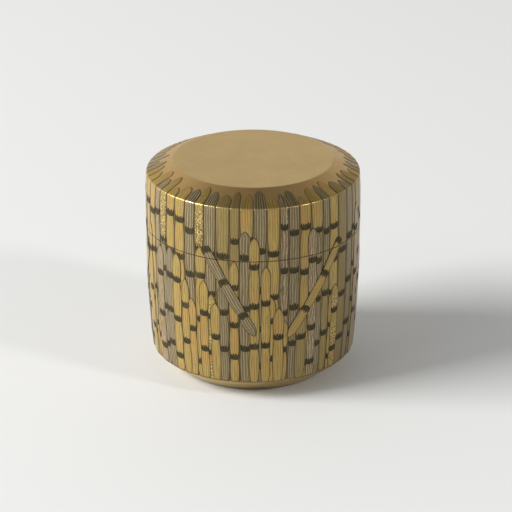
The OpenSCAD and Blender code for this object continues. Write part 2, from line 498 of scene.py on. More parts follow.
@dataclass(frozen=True)
class StemLacquer:
    """Raised lacquer of a stem: long streaks, fine lines, a painted shade along the rim and a dark
    outline.
    """

    name: str
    base: Colour
    streak: Colour
    blush: Colour
    streak_amount: float = 0.6
    blush_amount: float = 0.4
    tone: float = 0.55
    light_lines: float = 0.0
    dark_lines: float = 0.3
    waver: float = 1.6
    line_colour: Colour = (0.50, 0.46, 0.38)
    flakes: float = 0.0
    metallic: float = 0.20
    roughness: float = 0.42
    coat: float = 0.25
    sheen: Colour = (1.0, 0.78, 0.42)

    # OUTLINE_AND_SHADE is the dark of the outline and the lines, and also of the painted shade at
    # the rim and in the seam.
    OUTLINE_AND_SHADE = (0.036, 0.025, 0.011)
    GLINT = (1.0, 0.82, 0.38)
    DULL = (0.13, 0.085, 0.03)
    # Lighter gold of the rubbed crest, partly wear and partly a painted highlight.
    RUBBED_AND_HIGHLIT = (0.66, 0.48, 0.20)

    # Lumps a millimetre across and along the stem, and from stem to stem.
    FINE_GRAIN = (2.6, 0.20, 41.0)
    BROAD_GRAIN = (0.6, 0.12, 17.0)
    DRIFT_GRAIN = (0.35, 0.16, 29.0)
    FLAKE_GRAIN = (2.5, 2.4, 23.0)
    OWN_GRAIN = (0.0, 0.0, 173.0)

    # Distances from the stem's edge, in mm, between which the outline and the painted shade of the
    # rim fade.
    INNER_EDGE = (0.112, 0.192)
    PAINTED_SHADE_EDGE = (0.16, 0.64)

    # Pattern values between which each colour comes in.
    TONES = (0.30, 0.62)
    STREAKS = (0.46, 0.62)
    BLUSHES = (0.46, 0.66)
    VALLEYS = (0.03, 0.36)
    VALLEY_BREAKS = (0.25, 0.55)
    RIDGES = (0.55, 0.95)
    RIDGE_BREAKS = (0.30, 0.50)
    FLAKE_EDGE = (0.24, 0.36)
    FLAKE_THINNING = (0.40, 0.95)
    DULL_EDGE = (0.34, 0.50)
    DULL_THINNING = (0.30, 0.85)

    # How strongly each of them comes in, and what changes the gloss.
    LINE_LEAST = 0.4
    LINE_SPREAD = 1.1
    DULL_AMOUNT = 0.5
    THINNING_SWING = 0.5
    PAINTED_RIM_SHADE = 0.42
    RIM_ROUGH = 0.2
    BLUSH_ROUGH = 0.15
    RUB_HIGHLIGHT_AMOUNT = 0.5
    RUB_SMOOTH = 0.12
    CROWN_METALLIC = 0.85
    COAT_ROUGHNESS = 0.12
    STREAK_HEIGHT = 0.6
    POWDER_HEIGHT = 0.3
    GRIT_MM = 0.022

    def material(self, levels: Levels) -> Material:
        """Builds the material.

        Args:
            levels: Heights that the lacquer changes at.

        Returns:
            The material.
        """
        bench = Bench.material(self.name)
        place = bench.object_mm()
        height = levels.height(bench, place)
        grain = bench.attribute("grain", "Vector")
        rim = bench.attribute("rim", "Fac")
        fine = bench.noise(bench.stretched(grain, self.FINE_GRAIN), detail=5.0, rough=0.65)
        broad = bench.noise(bench.stretched(grain, self.BROAD_GRAIN), detail=2.0)
        own = bench.noise(bench.stretched(grain, self.OWN_GRAIN), detail=0.0)
        powder = bench.noise(place, scale=9.0, detail=2.0)
        rubbed = levels.rubbed(bench, place, height)
        # The stems go dark in the seam's painted shadow line as well as at their outline.
        inner = rim.above(*self.INNER_EDGE) * (1 - levels.seam_line(height))
        shade = bench.mix((1 - own.above(*self.TONES)) * self.tone, self.base, self.streak)
        shade = bench.mix(fine.above(*self.STREAKS) * self.streak_amount, shade, self.streak)
        shade = bench.mix(broad.above(*self.BLUSHES) * self.blush_amount, shade, self.blush)
        shade = self._line(bench, grain, fine, own, shade)
        if self.flakes:
            shade = self._sprinkle(bench, grain, shade)
        # Painted shade: the stem darkens towards its rim, standing in for the shade of its rounded
        # sides.
        shade = bench.mix((1 - rim.above(*self.PAINTED_SHADE_EDGE)) * self.PAINTED_RIM_SHADE, shade, self.OUTLINE_AND_SHADE)
        # Painted highlight along the rubbed shoulder crest, over the wear.
        shade = bench.mix(rubbed * self.RUB_HIGHLIGHT_AMOUNT, shade, self.RUBBED_AND_HIGHLIT)
        bare = levels.on_crown(height).larger(rubbed)
        rough = self.roughness + (1 - inner) * self.RIM_ROUGH + broad.swing(self.BLUSH_ROUGH)
        relief = fine * self.STREAK_HEIGHT + powder * self.POWDER_HEIGHT
        return bench.finish(
            Base_Color=bench.mix(1 - inner, shade, self.OUTLINE_AND_SHADE),
            Metallic=inner * (self.metallic + bare * (self.CROWN_METALLIC - self.metallic)),
            Roughness=rough - rubbed * self.RUB_SMOOTH,
            Specular_Tint=self.sheen,
            Coat_Weight=inner * self.coat,
            Coat_Roughness=self.COAT_ROUGHNESS,
            Normal=bench.bump(relief, self.GRIT_MM),
        )

    def _line(self, bench: Bench, grain: Shade, fine: Shade, own: Shade, shade: Shade) -> Shade:
        """Draws light lines along the stem and dark ones between them.

        Args:
            bench: The material's bench.
            grain: Place on the stem, and its seed.
            fine: The noise of the fine streaks.
            own: A noise value that is the stem's own.
            shade: The colour to draw on.

        Returns:
            The lined colour.
        """
        drift = bench.noise(bench.stretched(grain, self.DRIFT_GRAIN))
        ridge = (bench.attribute("line", "Fac") + drift.swing(self.waver)).wave()
        strength = self.LINE_LEAST + own * self.LINE_SPREAD
        dark = (1 - ridge.above(*self.VALLEYS)) * drift.above(*self.VALLEY_BREAKS) * strength
        light = ridge.above(*self.RIDGES) * fine.above(*self.RIDGE_BREAKS) * strength
        shade = bench.mix(dark * self.dark_lines, shade, self.OUTLINE_AND_SHADE)
        return bench.mix(light * self.light_lines, shade, self.line_colour)

    def _sprinkle(self, bench: Bench, grain: Shade, shade: Shade) -> Shade:
        """Scatters bright flakes, thick at one end of each length and thin at the other.

        Args:
            bench: The material's bench.
            grain: Place on the stem, and its seed.
            shade: The colour to sprinkle.

        Returns:
            The sprinkled colour.
        """
        cells = bench.flakes(bench.stretched(grain, self.FLAKE_GRAIN), 1.0)
        patchy = bench.noise(grain, scale=0.5).swing(self.THINNING_SWING)
        spread = bench.attribute("end", "Fac") + patchy
        bright = (1 - cells.above(*self.FLAKE_EDGE)) * (1 - spread.above(*self.FLAKE_THINNING))
        dark = cells.above(*self.DULL_EDGE) * (1 - spread.above(*self.DULL_THINNING))
        shade = bench.mix(dark * self.DULL_AMOUNT, shade, self.DULL)
        return bench.mix(bright * self.flakes, shade, self.GLINT)


@dataclass(frozen=True)
class SheathLacquer:
    """Charcoal lacquer of the toothed sheaths at the joints."""

    base: Colour = (0.038, 0.031, 0.016)
    dust: Colour = (0.112, 0.090, 0.042)
    sheen: Colour = (1.0, 0.86, 0.62)
    dust_amount: float = 0.55
    metallic: float = 0.3
    shine: float = 0.3
    roughness: float = 0.52
    powder_rough: float = 0.12
    grit_mm: float = 0.012

    GRAIN = (2.5, 0.6, 31.0)
    DUSTY = (0.45, 0.70)

    def material(self) -> Material:
        """Builds the material.

        Returns:
            The material.
        """
        bench = Bench.material("dark_sheaths")
        grain = bench.attribute("grain", "Vector")
        streak = bench.noise(bench.stretched(grain, self.GRAIN))
        powder = bench.noise(bench.object_mm(), scale=8.0, detail=2.0)
        dusty = streak.above(*self.DUSTY) * self.dust_amount
        return bench.finish(
            Base_Color=bench.mix(dusty, self.base, self.dust),
            Metallic=self.metallic,
            Roughness=self.roughness + powder * self.powder_rough,
            Specular_IOR_Level=self.shine,
            Specular_Tint=self.sheen,
            Normal=bench.bump(powder, self.grit_mm),
        )


@dataclass(frozen=True)
class FlakedLacquer:
    """Amber lacquer over gold flakes, for the well, the lid's inside and the underside."""

    name: str
    lacquer: Colour = (0.085, 0.030, 0.012)
    amber: Colour = (0.14, 0.055, 0.02)
    gold: Colour = (0.62, 0.40, 0.13)
    cover: float = 0.62
    flakes_a_mm: float = 3.2
    amber_amount: float = 0.5
    flake_least: float = 0.55
    flake_spread: float = 0.6
    metallic: float = 0.7
    roughness: float = 0.30
    flake_smooth: float = 0.05
    coat: float = 0.6
    coat_roughness: float = 0.12
    grit_mm: float = 0.008

    FLAKE_EDGE = (0.22, 0.38)
    PICK_SOFT = 0.15
    AMBER_CLOUDS = (0.35, 0.75)

    def material(self) -> Material:
        """Builds the material.

        Returns:
            The material.
        """
        bench = Bench.material(self.name)
        place = bench.object_mm()
        drift = bench.noise(place, scale=0.25)
        cells = bench.flakes(place, self.flakes_a_mm)
        tint = bench.flakes(place, self.flakes_a_mm, "Color")
        pick = bench.add("ShaderNodeSeparateColor", inputs={0: tint})
        bare = 1 - self.cover
        flake = (1 - cells.above(*self.FLAKE_EDGE)) * pick.above(bare, bare + self.PICK_SOFT)
        flake = flake * (self.flake_least + drift * self.flake_spread)
        clouds = drift.above(*self.AMBER_CLOUDS) * self.amber_amount
        shade = bench.mix(clouds, self.lacquer, self.amber)
        return bench.finish(
            Base_Color=bench.mix(flake, shade, self.gold),
            Metallic=flake * self.metallic,
            Roughness=self.roughness - flake * self.flake_smooth,
            Coat_Weight=self.coat,
            Coat_Roughness=self.coat_roughness,
            Normal=bench.bump(cells, self.grit_mm),
        )


@dataclass(frozen=True)
class RiseGold:
    """Satin gold of the rise, rubbed dark along its edge by the lid."""

    base: Colour = (0.47, 0.335, 0.155)
    powder: Colour = (0.62, 0.46, 0.24)
    rubbed: Colour = (0.30, 0.19, 0.08)
    worn: Colour = (0.10, 0.045, 0.02)
    powder_amount: float = 0.25
    rub_amount: float = 0.25
    top_wear: float = 0.9
    ledge_wear: float = 0.5
    metallic: float = 0.85
    roughness: float = 0.34
    chafe_rough: float = 0.14
    grit_mm: float = 0.012

    CHAFE_GRAIN = (0.9, 0.9, 0.25)
    TOP_EDGE = (-1.3, -0.05)
    LEDGE_EDGE = (0.05, 0.9)
    CHAFED = (0.38, 0.60)
    POWDERED = (0.35, 0.75)
    RUBS = (0.55, 0.75)

    def material(self, top_mm: float, foot_mm: float) -> Material:
        """Builds the material.

        Args:
            top_mm: Height of the rise's top edge.
            foot_mm: Height of the ledge that the lid sits on.

        Returns:
            The material.
        """
        bench = Bench.material("rise_gold")
        place = bench.object_mm()
        height = Levels.height(bench, place)
        chafe = bench.noise(bench.stretched(place, self.CHAFE_GRAIN), detail=5.0, rough=0.65)
        powder = bench.noise(place, scale=9.0, detail=2.0)
        near_top = Levels.past(height, top_mm, self.TOP_EDGE)
        near_ledge = 1 - Levels.past(height, foot_mm, self.LEDGE_EDGE)
        wear = near_top * self.top_wear + near_ledge * self.ledge_wear
        wear = wear * chafe.above(*self.CHAFED)
        powdered = powder.above(*self.POWDERED) * self.powder_amount
        shade = bench.mix(powdered, self.base, self.powder)
        shade = bench.mix(chafe.above(*self.RUBS) * self.rub_amount, shade, self.rubbed)
        return bench.finish(
            Base_Color=bench.mix(wear, shade, self.worn),
            Metallic=(1 - wear) * self.metallic,
            Roughness=self.roughness + chafe * self.chafe_rough,
            Normal=bench.bump(powder, self.grit_mm),
        )


@dataclass(frozen=True)
class TurnedWood:
    """Fine-grained turned wood, which shows only where a coat is cut away."""

    light: Colour = (0.52, 0.36, 0.20)
    dark: Colour = (0.33, 0.20, 0.095)
    pore: Colour = (0.16, 0.09, 0.04)
    pore_amount: float = 0.5
    roughness: float = 0.62
    pore_deep_mm: float = 0.03

    RING_GRAIN = (0.9, 0.15, 0.12)
    PORE_GRAIN = (6.0, 6.0, 0.5)
    RINGS = (0.35, 0.65)
    PORES = (0.62, 0.74)

    def material(self) -> Material:
        """Builds the material.

        Returns:
            The material.
        """
        bench = Bench.material("turned_wood")
        place = bench.object_mm()
        rings = bench.noise(bench.stretched(place, self.RING_GRAIN), detail=5.0)
        pores = bench.noise(bench.stretched(place, self.PORE_GRAIN), detail=2.0)
        shade = bench.mix(rings.above(*self.RINGS), self.light, self.dark)
        shade = bench.mix(pores.above(*self.PORES) * self.pore_amount, shade, self.pore)
        relief = bench.bump(pores, self.pore_deep_mm)
        return bench.finish(Base_Color=shade, Roughness=self.roughness, Normal=relief)


@dataclass(frozen=True)
class HempCloth:
    """Plain-woven hemp soaked in lacquer."""

    thread: Colour = (0.50, 0.41, 0.27)
    soaked: Colour = (0.20, 0.13, 0.07)
    threads_a_mm: float = 1.3
    roughness: float = 0.75
    thread_mm: float = 0.05

    def material(self) -> Material:
        """Builds the material.

        Returns:
            The material.
        """
        bench = Bench.material("hemp_cloth")
        place = bench.object_mm()
        cloth = self._threads(bench, place, "Z") * self._threads(bench, place, "DIAGONAL")
        shade = bench.mix(cloth, self.soaked, self.thread)
        weave = bench.bump(cloth, self.thread_mm)
        return bench.finish(Base_Color=shade, Roughness=self.roughness, Normal=weave)

    def _threads(self, bench: Bench, place: Shade, direction: str) -> Shade:
        """Lays threads side by side.

        Args:
            bench: The material's bench.
            place: Object coordinates in millimetres.
            direction: The wave's direction, in Blender's terms.

        Returns:
            A pattern that is 1 in the middle of a thread.
        """
        settings = {"wave_type": "BANDS", "bands_direction": direction}
        inputs = {"Vector": place, "Scale": self.threads_a_mm}
        return bench.add("ShaderNodeTexWave", settings, inputs, "Fac")


INNER_LACQUER = FlakedLacquer("inner_lacquer")
FOOT_LACQUER = FlakedLacquer("foot_lacquer", lacquer=(0.035, 0.020, 0.012), cover=0.30)
STEM_LACQUERS: dict[StemFinish, StemLacquer] = {
    StemFinish.GOLD: StemLacquer(
        "gold_stems",
        base=(0.41, 0.292, 0.082),
        streak=(0.230, 0.150, 0.046),
        blush=(0.43, 0.225, 0.058),
        blush_amount=0.6,
        dark_lines=0.4,
        light_lines=0.15,
        line_colour=(0.60, 0.43, 0.16),
    ),
    StemFinish.OLIVE: StemLacquer(
        "olive_stems",
        base=(0.29, 0.207, 0.072),
        streak=(0.170, 0.120, 0.044),
        blush=(0.26, 0.188, 0.062),
        light_lines=0.2,
        line_colour=(0.42, 0.32, 0.13),
    ),
    StemFinish.SILVER: StemLacquer(
        "silver_stems",
        base=(0.203, 0.149, 0.063),
        streak=(0.129, 0.092, 0.038),
        blush=(0.216, 0.147, 0.064),
        light_lines=0.6,
        dark_lines=0.45,
        sheen=(1.0, 0.86, 0.58),
        waver=1.0,
        line_colour=(0.43, 0.37, 0.25),
    ),
    StemFinish.STRIATED: StemLacquer(
        "striated_stems",
        base=(0.28, 0.195, 0.078),
        streak=(0.13, 0.085, 0.036),
        blush=(0.32, 0.180, 0.080),
        streak_amount=0.85,
        blush_amount=0.7,
        light_lines=0.65,
        dark_lines=0.4,
        sheen=(1.0, 0.90, 0.70),
        waver=3.0,
        line_colour=(0.48, 0.41, 0.285),
    ),
    StemFinish.SPECKLED: StemLacquer(
        "speckled_stems",
        base=(0.37, 0.250, 0.066),
        streak=(0.23, 0.155, 0.044),
        blush=(0.35, 0.235, 0.06),
        flakes=1.0,
    ),
}


# --------------------------------------------------------------------------- turned pieces


class Section:
    """Closed half section of a turned piece, as (radius, height) points in millimetres."""

    # Points of a mesh no further apart than about this, in millimetres, are on one ring.
    RING_STEP = 0.004

    # Faces round the axis of a turned piece.
    FACETS = 288

    # Corners that turn by more than this are rounded, over at most a share of their sides.
    CORNER = math.radians(35)
    CUT_SHARE = 0.4
    ROUNDING_STEPS = (0.0, 0.25, 0.5, 0.75, 1.0)

    # Straights longer than this get a point so far from each of their ends.
    LONG_STRAIGHT = 0.48
    SUPPORT = 0.12

    def __init__(self, points: Sequence[Point]) -> None:
        """Keeps the points.

        Args:
            points: The closed outline, in order.
        """
        self.points = list(points)

    @classmethod
    def of_node(cls, node: str) -> "Section":
        """Reads the section of a turned CAD node from the rings of its mesh.

        Args:
            node: The node's name.

        Returns:
            The section.
        """
        mesh = bpy.data.objects[node].data
        rings: dict[tuple[int, int], int] = {}
        places: list[Point] = []
        ring_of: list[int] = []
        for vertex in mesh.vertices:
            place = (math.hypot(vertex.co.x, vertex.co.y) / MM, vertex.co.z / MM)
            cell = tuple(round(value / cls.RING_STEP) for value in place)
            near = [(cell[0] + i, cell[1] + j) for i in (-1, 0, 1) for j in (-1, 0, 1)]
            found = next((rings[key] for key in near if key in rings), None)
            if found is None:
                found = rings[cell] = len(places)
                places.append(place)
            ring_of.append(found)
        beside: dict[int, set[int]] = {ring: set() for ring in range(len(places))}
        for edge in mesh.edges:
            first, second = (ring_of[vertex] for vertex in edge.vertices)
            if first != second:
                beside[first].add(second)
                beside[second].add(first)
        ends = [ring for ring, near in beside.items() if len(near) == 1]
        chain = [ends[0] if ends else 0]
        while True:
            ahead = [ring for ring in sorted(beside[chain[-1]]) if ring not in chain]
            if not ahead:
                break
            chain.append(ahead[0])
        points = [places[ring] for ring in chain]
        if ends:
            points += [(0.0, points[-1][1]), (0.0, points[0][1])]
        return cls(points)

    def softened(self, radius: float) -> "Section":
        """Rounds the sharp corners that lie off the axis.

        Args:
            radius: Rounding radius in millimetres.

        Returns:
            The rounded section.
        """
        made: list[Point] = []
        count = len(self.points)
        for i, corner in enumerate(self.points):
            here = Vector(corner)
            back = Vector(self.points[i - 1]) - here
            ahead = Vector(self.points[(i + 1) % count]) - here
            turn = math.pi - back.angle(ahead, math.pi)
            if corner[0] < self.RING_STEP or turn < self.CORNER:
                made.append(corner)
                continue
            cut = min(radius, self.CUT_SHARE * back.length, self.CUT_SHARE * ahead.length)
            start, end = here + back.normalized() * cut, here + ahead.normalized() * cut
            for share in self.ROUNDING_STEPS:
                low, high = start.lerp(here, share), here.lerp(end, share)
                made.append(tuple(low.lerp(high, share)))
        return Section(made)

    def supported(self) -> "Section":
        """Adds points beside the ends of each long straight, which keep its shading flat.

        Returns:
            The section with the added points.
        """
        made: list[Point] = []
        for i, corner in enumerate(self.points):
            here, ahead = Vector(corner), Vector(self.points[(i + 1) % len(self.points)])
            made.append(corner)
            long = (ahead - here).length
            if long > self.LONG_STRAIGHT and max(here.x, ahead.x) > self.RING_STEP:
                for share in (self.SUPPORT / long, 1 - self.SUPPORT / long):
                    made.append(tuple(here.lerp(ahead, share)))
        return Section(made)

    def turned(self, name: str) -> Piece:
        """Turns the section into a closed, smooth piece.

        Args:
            name: The piece's name.

        Returns:
            The new object.
        """
        bm = bmesh.new()
        loops: list[list[bmesh.types.BMVert]] = []
        for radius, height in self.points:
            on_axis = radius < self.RING_STEP
            angles = [0.0] if on_axis else np.arange(self.FACETS) * 2 * math.pi / self.FACETS
            spots = [(radius * math.cos(a), radius * math.sin(a), height) for a in angles]
            loops.append([bm.verts.new([value * MM for value in spot]) for spot in spots])
        for low, high in zip(loops, loops[1:] + loops[:1]):
            for i in range(self.FACETS):
                j = (i + 1) % self.FACETS
                if len(low) > 1 and len(high) > 1:
                    bm.faces.new((low[i], low[j], high[j], high[i]))
                elif len(low) > 1:
                    bm.faces.new((low[i], low[j], high[0]))
                elif len(high) > 1:
                    bm.faces.new((low[0], high[j], high[i]))
        bmesh.ops.recalc_face_normals(bm, faces=bm.faces)
        return made_object(name, bm)


def made_object(name: str, bm: bmesh.types.BMesh) -> Piece:
    """Makes a smooth-shaded object from a bmesh and frees it.

    Args:
        name: The object's name.
        bm: The mesh data.

    Returns:
        The new object, linked to the scene.
    """
    for face in bm.faces:
        face.smooth = True
    mesh = bpy.data.meshes.new(name)
    bm.to_mesh(mesh)
    bm.free()
    mesh.set_sharp_from_angle(angle=SHARP)
    piece = bpy.data.objects.new(name, mesh)
    bpy.context.scene.collection.objects.link(piece)
    return piece


class Outline:
    """Outer line of the gold ground, from the foot up to the disc, in millimetres."""

    # Points nearer the axis than this are no part of it.
    OFF_AXIS = 1.0

    # The line belongs to the crown from where its normal rises by this much.
    TURNED_UP = 0.5

    def __init__(self, sections: Iterable[Section]) -> None:
        """Takes the convex line round some sections.

        Args:
            sections: The sections of the gold coats.
        """
        points = {point for section in sections for point in section.points}
        line: list[Point] = []
        for point in sorted(points, key=lambda p: (p[1], p[0])):
            while len(line) > 1 and self._turn(line[-2], line[-1], point) <= 0:
                line.pop()
            line.append(point)
        self.points = np.array([point for point in line if point[0] > self.OFF_AXIS])
        steps = np.diff(self.points, axis=0)
        long = np.hypot(steps[:, 0], steps[:, 1])
        self.along = np.concatenate([[0.0], np.cumsum(long)])
        faces = np.stack([steps[:, 1] / long, -steps[:, 0] / long], axis=1)
        mean = np.concatenate([faces[:1], faces[:-1] + faces[1:], faces[-1:]])
        self.normals = mean / np.hypot(mean[:, 0], mean[:, 1])[:, None]
        self.wall_radius = float(self.points[:, 0].max())

    @staticmethod
    def _turn(a: Point, b: Point, c: Point) -> float:
        """Twice the area of the triangle of three points, positive when it turns left."""
        return (b[0] - a[0]) * (c[1] - a[1]) - (b[1] - a[1]) * (c[0] - a[0])

    @property
    def shoulder(self) -> float:
        """Height at which the wall turns over into the crown."""
        return float(self.points[np.argmax(self.normals[:, 1] > self.TURNED_UP), 1])

    def at_height(self, height: float) -> float:
        """Distance along the line at a height."""
        return float(np.interp(height, self.points[:, 1], self.along))

    def height_at(self, along: float) -> float:
        """Height at a distance along the line."""
        return float(np.interp(along, self.along, self.points[:, 1]))

    def place(self, across: np.ndarray, along: np.ndarray, proud: np.ndarray) -> np.ndarray:
        """Points on or above the ground.

        Args:
            across: Distance round the wall at its widest radius.
            along: Distance up the line.
            proud: Height above the ground.

        Returns:
            Places in metres, one row each.
        """
        radius = np.interp(along, self.along, self.points[:, 0])
        radius = radius + proud * np.interp(along, self.along, self.normals[:, 0])
        height = np.interp(along, self.along, self.points[:, 1])
        height = height + proud * np.interp(along, self.along, self.normals[:, 1])
        angle = across / self.wall_radius
        return np.stack([radius * np.cos(angle), radius * np.sin(angle), height], axis=-1) * MM


# --------------------------------------------------------------------------- raised stems


@dataclass(frozen=True)
class Stem:
    """One scouring-rush stem as it is laid on the wall, in millimetres and degrees."""

    across: float
    root: float
    long: float
    width: float
    finish: StemFinish
    layer: Layer
    joints: tuple[float, ...]
    seed: float
    waist: float
    point: float
    lean: float = 0.0

    @property
    def lined(self) -> bool:
        """Whether fine ridges run along the stem."""
        return self.finish in (StemFinish.SILVER, StemFinish.STRIATED)

    def on_wall(self, right: np.ndarray, up: np.ndarray) -> tuple[np.ndarray, np.ndarray]:
        """Turns places on the stem into places on the wall.

        Args:
            right: Distance to the right of the stem's middle line.
            up: Distance up the stem from its root.

        Returns:
            Distance round the wall and distance up the outline.
        """
        turn = math.radians(self.lean)
        across = self.across + right * math.cos(turn) + up * math.sin(turn)
        along = self.root - right * math.sin(turn) + up * math.cos(turn)
        return across, along


class Relief:
    """Gathers the closed raised shapes of one finish and makes a piece for each part."""

    # How far a shape reaches down into the ground, in millimetres.
    SINK = 0.04

    # Distance in metres within which a point lies on the seam's cut.
    CUT_TOLERANCE = 1e-7

    # Numbers kept at each point: its way in from the edge, its ridge, its share of the length.
    LAYERS = ("rim", "line", "end")

    def __init__(self, outline: Outline) -> None:
        """Starts with no shapes.

        Args:
            outline: The line that the shapes lie on.
        """
        self.outline = outline
        self.places: list[np.ndarray] = []
        self.faces: list[list[int]] = []
        self.grain: list[np.ndarray] = []
        self.values: dict[str, list[np.ndarray]] = {name: [] for name in self.LAYERS}
        self.count = 0

    def add(
        self,
        across: np.ndarray,
        along: np.ndarray,
        proud: np.ndarray,
        grain: np.ndarray,
        **values: np.ndarray,
    ) -> None:
        """Adds a closed block over a grid of points.

        Args:
            across: Distance round the wall of each grid point.
            along: Distance up the outline of each grid point.
            proud: Height above the ground of each grid point.
            grain: Place on the stem, and its seed, of each grid point.
            values: The grid of each named number in LAYERS.
        """
        rows, columns = across.shape
        ends = [0, -1]
        low = np.full((rows, 2), -self.SINK)
        top = self.outline.place(across, along, proud).reshape(-1, 3)
        bottom = self.outline.place(across[:, ends], along[:, ends], low).reshape(-1, 3)
        self.places.append(np.concatenate([top, bottom]))
        self.grain.append(np.concatenate([grain.reshape(-1, 3), grain[:, ends].reshape(-1, 3)]))
        for name in self.LAYERS:
            grid = values.get(name, np.zeros((rows, columns)))
            self.values[name].append(np.concatenate([grid.reshape(-1), grid[:, ends].reshape(-1)]))
        start, under = self.count, self.count + rows * columns
        for i in range(rows - 1):
            a, b = start + i * columns, start + (i + 1) * columns
            self.faces += [[a + j, a + j + 1, b + j + 1, b + j] for j in range(columns - 1)]
            c, d = under + 2 * i, under + 2 * (i + 1)
            self.faces.append([c, a, b, d])
            self.faces.append([a + columns - 1, c + 1, d + 1, b + columns - 1])
            self.faces.append([c, d, d + 1, c + 1])
        last, past = start + (rows - 1) * columns, under + 2 * rows
        self.faces.append([start + j for j in reversed(range(columns))] + [under, under + 1])
        self.faces.append([last + j for j in range(columns)] + [past - 1, past - 2])
        self.count = past

    def pieces(self, name: str, seam: float, gap: float) -> dict[Part, Piece]:
        """Makes the lid's piece and the body's, cut apart at the seam.

        Args:
            name: The finish's name, which the pieces' names end with.
            seam: Height of the seam in millimetres.
            gap: Width of the line that the seam cuts.

        Returns:
            The piece of each part.
        """
        whole = bpy.data.meshes.new(name)
        whole.from_pydata(np.concatenate(self.places).tolist(), [], self.faces)
        layer = whole.attributes.new("grain", "FLOAT_VECTOR", "POINT")
        layer.data.foreach_set("vector", np.concatenate(self.grain).astype(np.float32).ravel())
        for key, grids in self.values.items():
            layer = whole.attributes.new(key, "FLOAT", "POINT")
            layer.data.foreach_set("value", np.concatenate(grids).astype(np.float32))
        made = {}
        for part in Part:
            side = 1 if part is Part.LID else -1
            bm = bmesh.new()
            bm.from_mesh(whole)
            cut = bmesh.ops.bisect_plane(
                bm,
                geom=bm.verts[:] + bm.edges[:] + bm.faces[:],
                dist=self.CUT_TOLERANCE,
                plane_co=(0, 0, (seam + side * gap / 2) * MM),
                plane_no=(0, 0, -side),
                clear_outer=True,
            )
            rims = [edge for edge in cut["geom_cut"] if isinstance(edge, bmesh.types.BMEdge)]
            bmesh.ops.edgeloop_fill(bm, edges=[edge for edge in rims if edge.is_boundary])
            bmesh.ops.recalc_face_normals(bm, faces=bm.faces)
            made[part] = made_object(f"{part.value}_{name}", bm)
        bpy.data.meshes.remove(whole)
        return made


